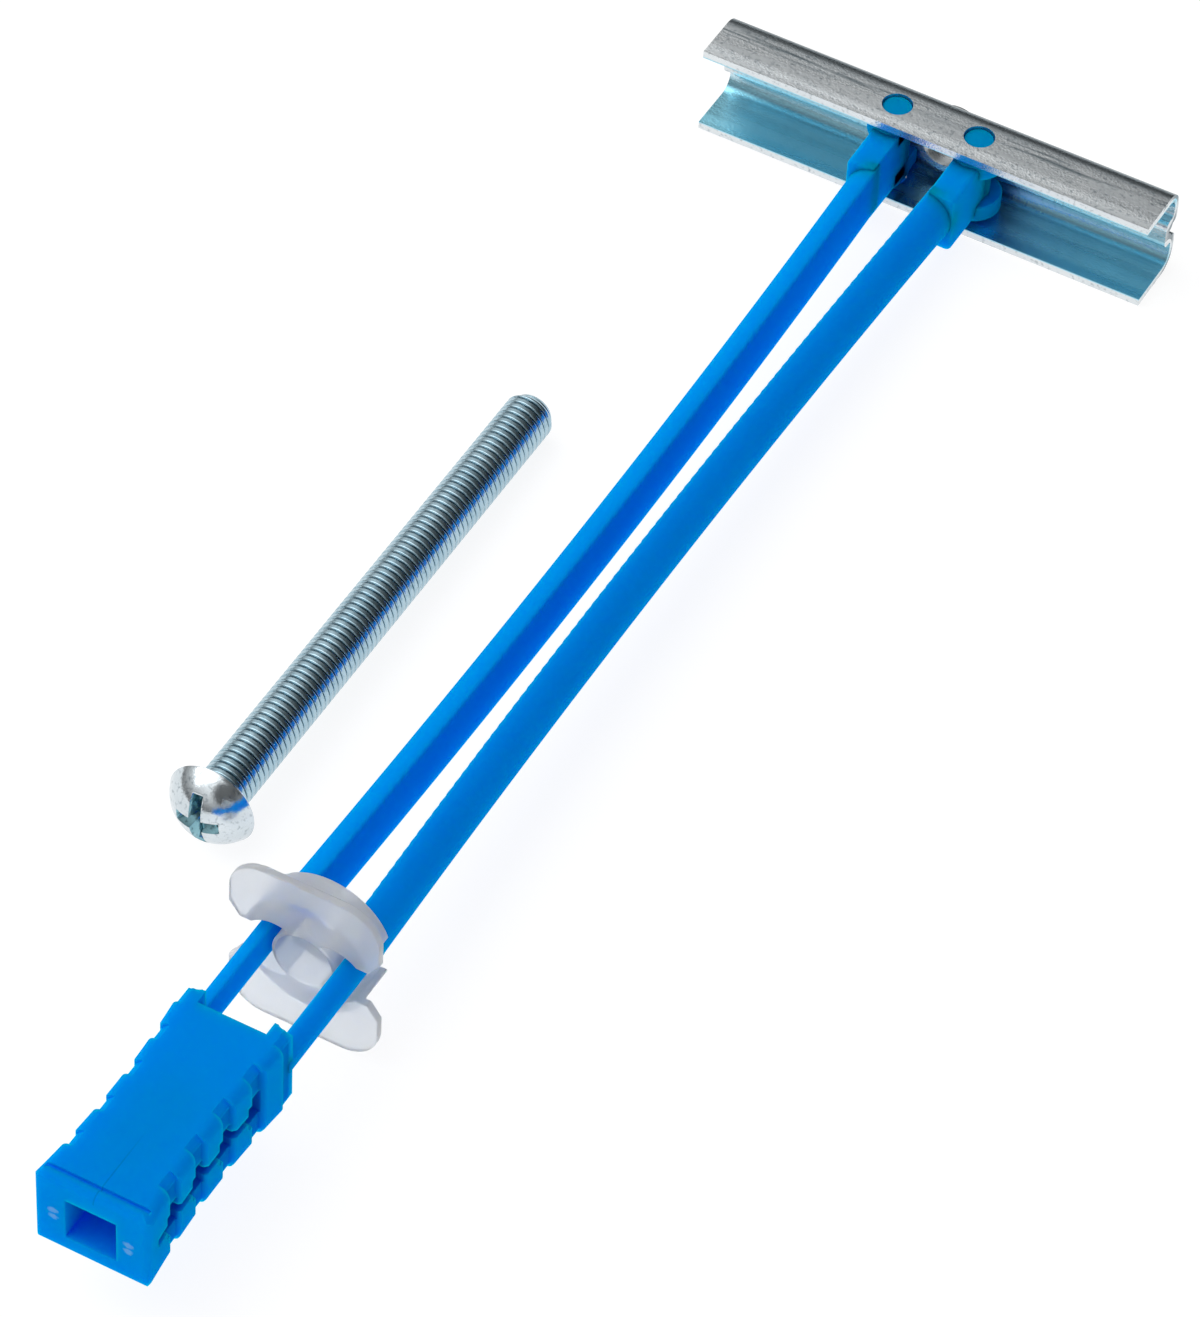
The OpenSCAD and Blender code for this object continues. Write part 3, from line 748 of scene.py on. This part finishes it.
# The recess gets a much darker copy of the head's zinc: painted shade in the slot and the cross.
zinc_recess_shaded = zinc_material(
    "zinc_recess_shaded",
    dark=(0.06, 0.19, 0.25),
    light=(0.40, 0.68, 0.75),
    speck=(0.03, 0.08, 0.10),
    painted_tint=(0.03, 0.08, 0.11),
    painted_tint_mask=thread_groove,
    rough=(0.12, 0.26),
    relief=0.1,
)
screw = piece_from_shells("screw_head", [ring_shell(head_rings())])
screw.data.materials.append(zinc_head)
cutters = [
    piece_from_shells("slot_cutter", [recess_shell(SLOT_LENGTH, SLOT_DEPTH, RECESS_TURN)]),
    piece_from_shells("cross_cutter", [recess_shell(CROSS_LENGTH, CROSS_DEPTH, RECESS_TURN + np.pi / 2)]),
]
for cutter in cutters:
    cutter.data.materials.append(zinc_recess_shaded)
cut(screw, cutters)
rings, groove = thread_rings()
thread = piece_from_shells("screw_thread", [ring_shell(rings)], smooth_angle=75.0)
thread.data.attributes.new("groove", "FLOAT", "POINT").data.foreach_set("value", groove.ravel())
thread.data.materials.append(zinc_thread)
for piece in (screw, thread):
    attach(piece, "grip_body")
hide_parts("screw")

# Studio: a white floor under the lying anchor, which rests on the channel's lower flange and on the cap's
# lower edge, so it slopes a little against the frame. A light tent with a dark far side shows in the metal.
FLOOR_SIZE, FLOOR_Z, FLOOR_SLOPE = 6000.0, -4.93, 0.03536
ANCHOR_MIDDLE = Vector((0, -0.07, 0))
TENT_SIDE, LENS_SIDE, TENT_STRENGTH = (0.6, 0.8, 0.0), (0.5, -0.53, 0.68), 1.5


def floor_points():
    """Four corners of the plane z = floor + slope (y + 0.05), in millimetres."""
    x, y = np.array([[-1, 1, 1, -1], [-1, -1, 1, 1]]) * FLOOR_SIZE
    return np.stack([x, y, FLOOR_Z + FLOOR_SLOPE * (y + 0.05)], -1)


mesh = bpy.data.meshes.new("floor")
mesh.from_pydata((floor_points() * MM).tolist(), [], [[0, 1, 2, 3]])
floor = bpy.data.objects.new("floor", mesh)
bpy.context.scene.collection.objects.link(floor)
paper, _, _ = new_material("white_paper", {
    "Base Color": (0.2, 0.2, 0.2, 1),
    "Emission Color": (1, 1, 1, 1),
    "Emission Strength": 0.88,
    "Roughness": 0.9,
    "Specular IOR Level": 0.1,
})
floor.data.materials.append(paper)

world = bpy.data.worlds.new("light_tent")
bpy.context.scene.world = world
world.use_nodes = True
tree = world.node_tree
where, split = add_node(tree, "TexCoord"), add_node(tree, "SeparateXYZ")
side = add_node(tree, "VectorMath", {1: TENT_SIDE}, operation="DOT_PRODUCT")
half = add_node(tree, "Math", {1: 0.5, 2: 0.5}, operation="MULTIPLY_ADD")
sky = add_node(tree, "ValToRGB")
tent_levels = ((0.0, 0.6), (0.3, 0.78), (0.5, 0.95), (0.55, 0.8), (0.65, 0.38), (0.8, 0.1), (0.95, 0.03))
stops = sky.color_ramp.elements
stops.remove(stops[1])
for place, level in tent_levels:
    stops.new(place).color = (level, level, level, 1)
stops.remove(stops[0])
rise = add_node(tree, "MapRange", {"From Min": 0.0, "From Max": 0.72, "To Min": 0.15, "To Max": 1.0})
tent = add_node(tree, "Mix", {"Factor": 1.0}, data_type="RGBA", blend_type="MULTIPLY")
front = add_node(tree, "VectorMath", {1: LENS_SIDE}, operation="DOT_PRODUCT")
lens = add_node(tree, "MapRange", {"From Min": 0.82, "From Max": 0.93, "To Max": 0.9})
shade = colour_mix(tree, B=(0.02, 0.02, 0.02))
wire(
    tree,
    ((where, "Generated"), (split, "Vector")),
    ((where, "Generated"), (side, 0)),
    ((where, "Generated"), (front, 0)),
    ((side, "Value"), (half, 0)),
    ((half, "Value"), (sky, "Fac")),
    ((split, "Z"), (rise, "Value")),
    ((sky, "Color"), (tent, "A")),
    ((rise, "Result"), (tent, "B")),
    ((front, "Value"), (lens, "Value")),
    ((lens, "Result"), (shade, "Factor")),
    ((tent, "Result"), (shade, "A")),
    ((shade, "Result"), (tree.nodes["Background"], "Color")),
)
set_inputs(tree.nodes["Background"], {"Strength": TENT_STRENGTH})


def area_light(name, place, width, height, watts):
    """A rectangular light at a place, in metres, turned towards the middle of the anchor."""
    light = bpy.data.lights.new(name, "AREA")
    light.shape, light.size, light.size_y, light.energy = "RECTANGLE", width, height, watts
    made = bpy.data.objects.new(name, light)
    made.location = place
    made.rotation_mode = "QUATERNION"
    made.rotation_quaternion = (ANCHOR_MIDDLE - made.location).to_track_quat("-Z", "Y")
    bpy.context.scene.collection.objects.link(made)
    return made


area_light("softbox", (-0.5, -0.25, 0.75), 0.8, 0.8, 2.4)
fill = area_light("fill", (0.6, -0.35, 0.3), 0.6, 0.4, 0.5)
fill.visible_glossy = False

# Camera: at the photograph's angle, found from the channel, straps, cap and grip as they stand in it.
# Its place is given from a point between the straps, in millimetres across, up and back from that point.
PHOTO_HEIGHT, FOCAL_PIXELS, SENSOR = 1317, 6833.913, 36.0
AZIMUTH, ELEVATION, ROLL = np.radians([26.664, 46.832, 3.362])
AIM, AIM_ACROSS, AIM_UP, DISTANCE = np.array([0, -76.7, 0]), -4.827, 0.436, 600.5
level = np.cos(ELEVATION)
ahead = np.array([-np.sin(AZIMUTH) * level, np.cos(AZIMUTH) * level, -np.sin(ELEVATION)])
right = np.cross(ahead, [0, 0, 1])
right /= np.linalg.norm(right)
up = np.cross(right, ahead)
across = np.cos(ROLL) * right + np.sin(ROLL) * up
upward = -np.sin(ROLL) * right + np.cos(ROLL) * up
eye = AIM - (AIM_ACROSS * across + AIM_UP * upward + DISTANCE * ahead)
camera_data = bpy.data.cameras.new("camera")
camera_data.sensor_fit, camera_data.sensor_width = "AUTO", SENSOR
camera_data.lens = FOCAL_PIXELS * SENSOR / PHOTO_HEIGHT
camera_data.clip_start, camera_data.clip_end = 0.05, 50
camera = bpy.data.objects.new("camera", camera_data)
axes_and_eye = np.column_stack([across, upward, -ahead, eye * MM])
camera.matrix_world = Matrix(np.vstack([axes_and_eye, [0, 0, 0, 1]]).tolist())
bpy.context.scene.collection.objects.link(camera)
bpy.context.scene.camera = camera
bpy.context.scene.view_settings.view_transform = "Standard"
